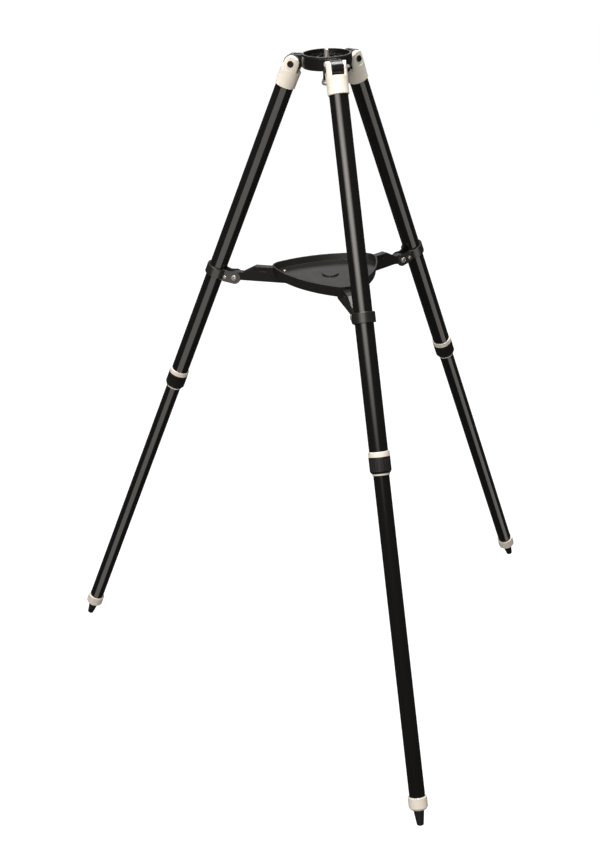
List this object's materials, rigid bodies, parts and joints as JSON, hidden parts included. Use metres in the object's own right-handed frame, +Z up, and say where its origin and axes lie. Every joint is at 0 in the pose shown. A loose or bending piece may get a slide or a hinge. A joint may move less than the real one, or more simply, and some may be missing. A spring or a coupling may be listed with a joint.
{
  "type": "telescope field tripod",
  "caption": "Folding telescope tripod with two-section twist-lock legs, hinged spreader arms, a three-cornered accessory tray and a head bolt.",
  "frame": {"origin": "on the hub's vertical axis, at the seat plane on top of the hub's round rim, where the telescope head rests", "axes": "+Z up along the head bolt, front leg towards -Y, right leg towards +X and +Y, left leg towards -X and +Y"},
  "size_m": [0.9508, 0.8294, 1.2001],
  "materials": {
    "hub_plastic": "semi-gloss moulded black",
    "tube_paint": "satin black coat on aluminium tube",
    "cream_plastic": "smooth cream white moulding",
    "spreader_plastic": "fine-grained dark warm grey moulding",
    "nut_plastic": "semi-gloss black",
    "bright_steel": "bright turned steel",
    "black_steel": "blackened steel",
    "foot_rubber": "matt black rubber",
    "guide_nylon": "natural nylon"
  },
  "bodies": {
    "hub": {"hub": "hub_plastic", "hub_sleeve": "black_steel"},
    "head_bolt": {"head_stud": "bright_steel", "stud_clip": "bright_steel", "stud_washer": "bright_steel", "stud_knob": "bright_steel"},
    "leg_front": {"clevis_front": "cream_plastic", "hinge_bolt_front": "black_steel", "hinge_nut_front": "black_steel", "upper_tube_front": "tube_paint", "spreader_collar_front": "spreader_plastic", "arm_screw_front": "bright_steel", "clamp_screw_front": "bright_steel", "collar_nuts_front": "bright_steel", "lock_base_front": "cream_plastic", "lock_collet_front": "cream_plastic"},
    "lock_front": {"lock_nut_front": "nut_plastic"},
    "foot_front": {"lower_tube_front": "tube_paint", "slide_bush_front": "guide_nylon", "foot_cap_front": "cream_plastic", "foot_tip_front": "foot_rubber"},
    "arm_front": {"spreader_arm_front": "spreader_plastic"},
    "leg_right": {"clevis_right": "cream_plastic", "hinge_bolt_right": "black_steel", "hinge_nut_right": "black_steel", "upper_tube_right": "tube_paint", "spreader_collar_right": "spreader_plastic", "arm_screw_right": "bright_steel", "clamp_screw_right": "bright_steel", "collar_nuts_right": "bright_steel", "lock_base_right": "cream_plastic", "lock_collet_right": "cream_plastic"},
    "lock_right": {"lock_nut_right": "nut_plastic"},
    "foot_right": {"lower_tube_right": "tube_paint", "slide_bush_right": "guide_nylon", "foot_cap_right": "cream_plastic", "foot_tip_right": "foot_rubber"},
    "arm_right": {"spreader_arm_right": "spreader_plastic"},
    "leg_left": {"clevis_left": "cream_plastic", "hinge_bolt_left": "black_steel", "hinge_nut_left": "black_steel", "upper_tube_left": "tube_paint", "spreader_collar_left": "spreader_plastic", "arm_screw_left": "bright_steel", "clamp_screw_left": "bright_steel", "collar_nuts_left": "bright_steel", "lock_base_left": "cream_plastic", "lock_collet_left": "cream_plastic"},
    "lock_left": {"lock_nut_left": "nut_plastic"},
    "foot_left": {"lower_tube_left": "tube_paint", "slide_bush_left": "guide_nylon", "foot_cap_left": "cream_plastic", "foot_tip_left": "foot_rubber"},
    "arm_left": {"spreader_arm_left": "spreader_plastic"},
    "tray": {"tray": "spreader_plastic", "tray_cap": "spreader_plastic", "tray_pads": "foot_rubber", "tray_screws": "bright_steel"}
  },
  "joints": [
    {"name": "head_bolt_turn", "type": "hinge", "parent": "hub", "child": "head_bolt", "pos_m": [0, 0, 0], "axis": [0, 0, 1], "continuous": true},
    {"name": "leg_fold_front", "type": "hinge", "parent": "hub", "child": "leg_front", "pos_m": [0, -0.0589, -0.017], "axis": [1, 0, 0], "range_deg": [0, 20]},
    {"name": "arm_fold_front", "type": "hinge", "parent": "leg_front", "child": "arm_front", "pos_m": [0, -0.18047, -0.41037], "axis": [-1, 0, 0], "range_deg": [0, 108]},
    {"name": "foot_slide_front", "type": "slide", "parent": "leg_front", "child": "foot_front", "axis": [0, 0.3814, 0.9244], "range_m": [0, 0.54], "stiffness_N_per_m": 25, "springref_m": -1},
    {"name": "lock_turn_front", "type": "hinge", "parent": "leg_front", "child": "lock_front", "pos_m": [0, -0.31062, -0.62711], "axis": [0, -0.3814, -0.9244], "range_deg": [0, 90]},
    {"name": "leg_fold_right", "type": "hinge", "parent": "hub", "child": "leg_right", "pos_m": [0.05101, 0.02945, -0.017], "axis": [-0.5, 0.866, 0], "range_deg": [0, 20]},
    {"name": "arm_fold_right", "type": "hinge", "parent": "leg_right", "child": "arm_right", "pos_m": [0.15629, 0.09023, -0.41037], "axis": [0.5, -0.866, 0], "range_deg": [0, 108]},
    {"name": "foot_slide_right", "type": "slide", "parent": "leg_right", "child": "foot_right", "axis": [-0.3303, -0.1907, 0.9244], "range_m": [0, 0.54], "stiffness_N_per_m": 25, "springref_m": -1},
    {"name": "lock_turn_right", "type": "hinge", "parent": "leg_right", "child": "lock_right", "pos_m": [0.269, 0.15531, -0.62711], "axis": [0.3303, 0.1907, -0.9244], "range_deg": [0, 90]},
    {"name": "leg_fold_left", "type": "hinge", "parent": "hub", "child": "leg_left", "pos_m": [-0.05101, 0.02945, -0.017], "axis": [-0.5, -0.866, 0], "range_deg": [0, 20]},
    {"name": "arm_fold_left", "type": "hinge", "parent": "leg_left", "child": "arm_left", "pos_m": [-0.15629, 0.09023, -0.41037], "axis": [0.5, 0.866, 0], "range_deg": [0, 108]},
    {"name": "foot_slide_left", "type": "slide", "parent": "leg_left", "child": "foot_left", "axis": [0.3303, -0.1907, 0.9244], "range_m": [0, 0.54], "stiffness_N_per_m": 25, "springref_m": -1},
    {"name": "lock_turn_left", "type": "hinge", "parent": "leg_left", "child": "lock_left", "pos_m": [-0.269, 0.15531, -0.62711], "axis": [-0.3303, 0.1907, -0.9244], "range_deg": [0, 90]},
    {"name": "tray_lift", "type": "slide", "parent": "hub", "child": "tray", "axis": [0, 0.5, 0.866], "range_m": [0, 0.52]}
  ],
  "couplings": [
    {"joint": "arm_fold_front", "follows": "leg_fold_front", "ratio": 5.4},
    {"joint": "leg_fold_right", "follows": "leg_fold_front", "ratio": 1},
    {"joint": "arm_fold_right", "follows": "leg_fold_front", "ratio": 5.4},
    {"joint": "leg_fold_left", "follows": "leg_fold_front", "ratio": 1},
    {"joint": "arm_fold_left", "follows": "leg_fold_front", "ratio": 5.4},
    {"joint": "tray_lift", "follows": "leg_fold_front", "m_per_rad": 1.4897}
  ]
}
